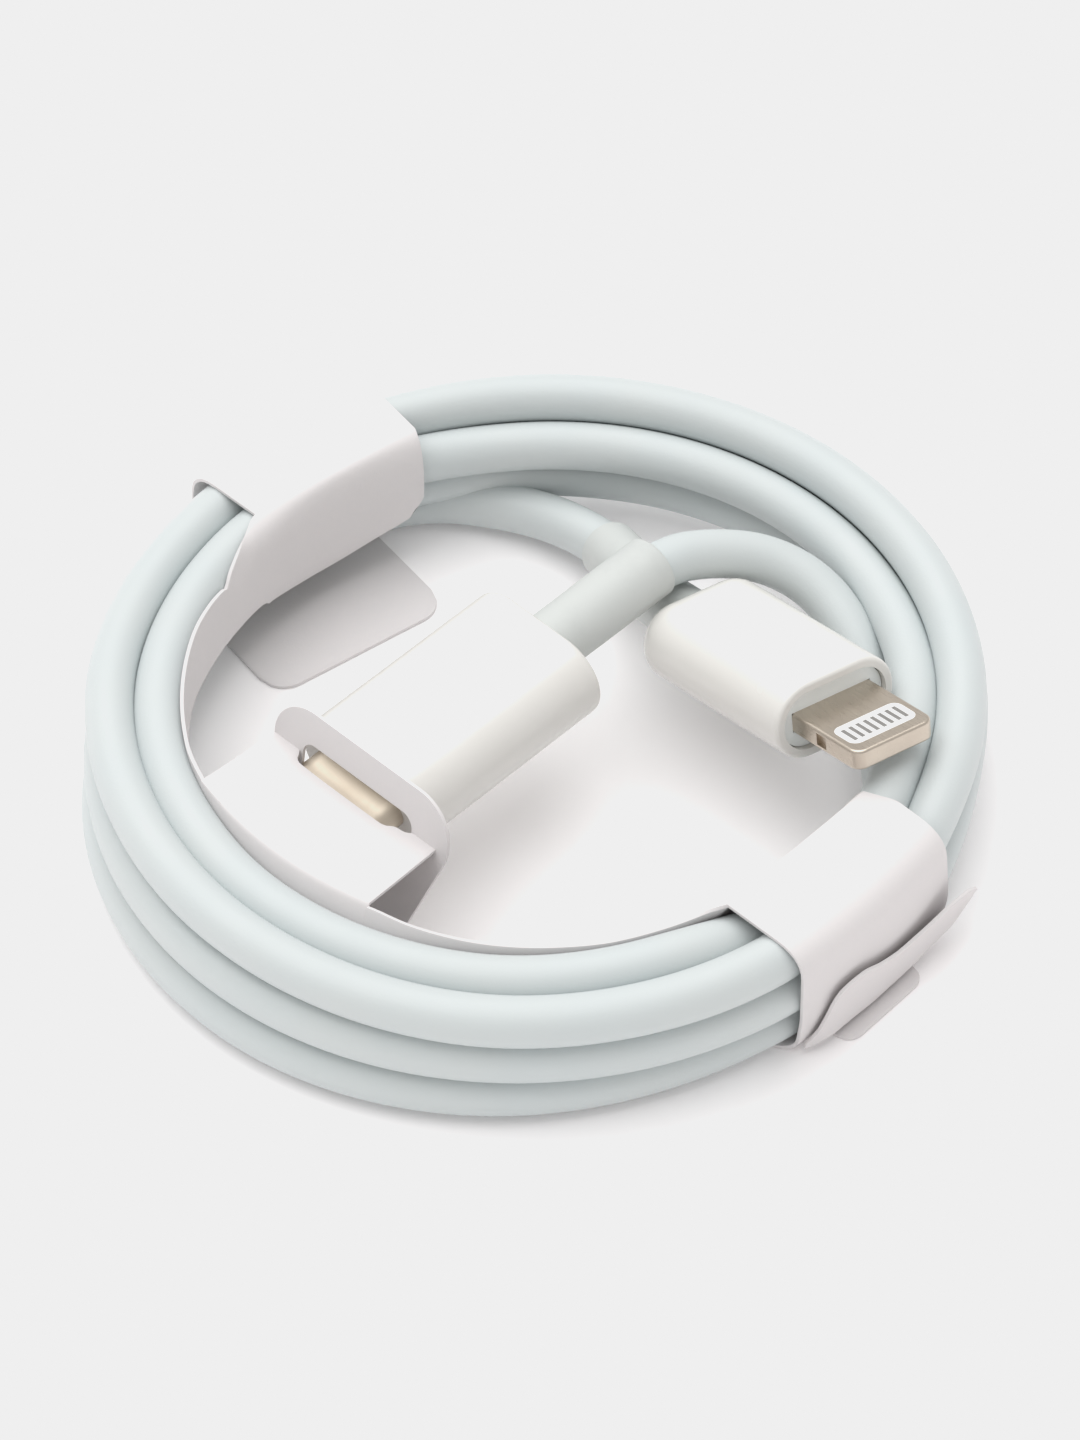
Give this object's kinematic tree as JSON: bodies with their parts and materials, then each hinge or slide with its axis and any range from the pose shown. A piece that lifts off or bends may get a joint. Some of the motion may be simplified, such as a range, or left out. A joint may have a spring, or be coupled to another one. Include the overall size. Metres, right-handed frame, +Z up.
{
  "type": "phone charging cable",
  "caption": "Coiled white charging cable with an oval metal-shell plug, a flat reversible tab plug and a folded paper retainer that holds the coil.",
  "frame": {"origin": "on the floor under the middle of the coil, which is the middle of the bottom of the bounding box", "axes": "+Z up out of the coil; -Y is the side where the oval-shell plug and the paper shelf lie, +X the side of the flat-tab plug"},
  "size_m": [0.0616, 0.0618, 0.0142],
  "materials": {
    "cable_jacket": "satin",
    "relief_plastic": "satin",
    "cover_plastic": "glossy",
    "insert_plastic": "satin",
    "shell_metal": "satin",
    "spring_metal": "satin",
    "tab_metal": "satin",
    "can_metal": "satin",
    "crimp_metal": "satin",
    "gold_contacts": "polished",
    "pad_metal": "polished",
    "black_insulator": "matt",
    "contact_moulding": "glossy",
    "board": "satin",
    "chips": "matt",
    "wire_insulation": "satin",
    "inner_mould": "matt",
    "paper_card": "matt"
  },
  "bodies": {
    "cable": {"cable_coil": "cable_jacket", "paper_band_left": "paper_card", "paper_band_right": "paper_card", "paper_plate": "paper_card", "paper_shelf": "paper_card", "paper_tab_right": "paper_card", "paper_wall": "paper_card", "phone_board": "board", "phone_chips": "chips", "phone_contact_moulding": "contact_moulding", "phone_contacts_lower": "pad_metal", "phone_contacts_upper": "pad_metal", "phone_cover": "cover_plastic", "phone_crimp": "crimp_metal", "phone_front_insert": "insert_plastic", "phone_lead": "cable_jacket", "phone_shield_can": "can_metal", "phone_strain_relief": "relief_plastic", "phone_tab_frame": "tab_metal", "phone_wires": "wire_insulation", "usb_board": "board", "usb_cable_core": "inner_mould", "usb_chips": "chips", "usb_contacts_lower": "gold_contacts", "usb_contacts_upper": "gold_contacts", "usb_cover": "cover_plastic", "usb_crimp": "crimp_metal", "usb_ground_springs": "spring_metal", "usb_inner_mould": "inner_mould", "usb_insulator": "black_insulator", "usb_lead": "cable_jacket", "usb_shell": "shell_metal", "usb_shield_can": "can_metal", "usb_strain_relief": "relief_plastic", "usb_wires": "wire_insulation"},
    "latch_left": {"usb_latch_left": "spring_metal"},
    "latch_right": {"usb_latch_right": "spring_metal"},
    "flap": {"paper_flap": "paper_card"}
  },
  "joints": [
    {"name": "flap_fold", "type": "hinge", "parent": "cable", "child": "flap", "pos_m": [0.02252, -0.02028, 0.00065], "axis": [0.6691, 0.7431, 0], "range_deg": [-3, 60]},
    {"name": "latch_left_flex", "type": "hinge", "parent": "cable", "child": "latch_left", "pos_m": [-0.01293, -0.00545, 0.00912], "axis": [-0.0367, -0.0361, 0.9987], "range_deg": [-2, 0], "stiffness_Nm_per_rad": 0.002},
    {"name": "latch_right_flex", "type": "hinge", "parent": "cable", "child": "latch_right", "pos_m": [-0.00838, -0.01009, 0.00912], "axis": [-0.0367, -0.0361, 0.9987], "range_deg": [0, 2], "stiffness_Nm_per_rad": 0.002}
  ]
}
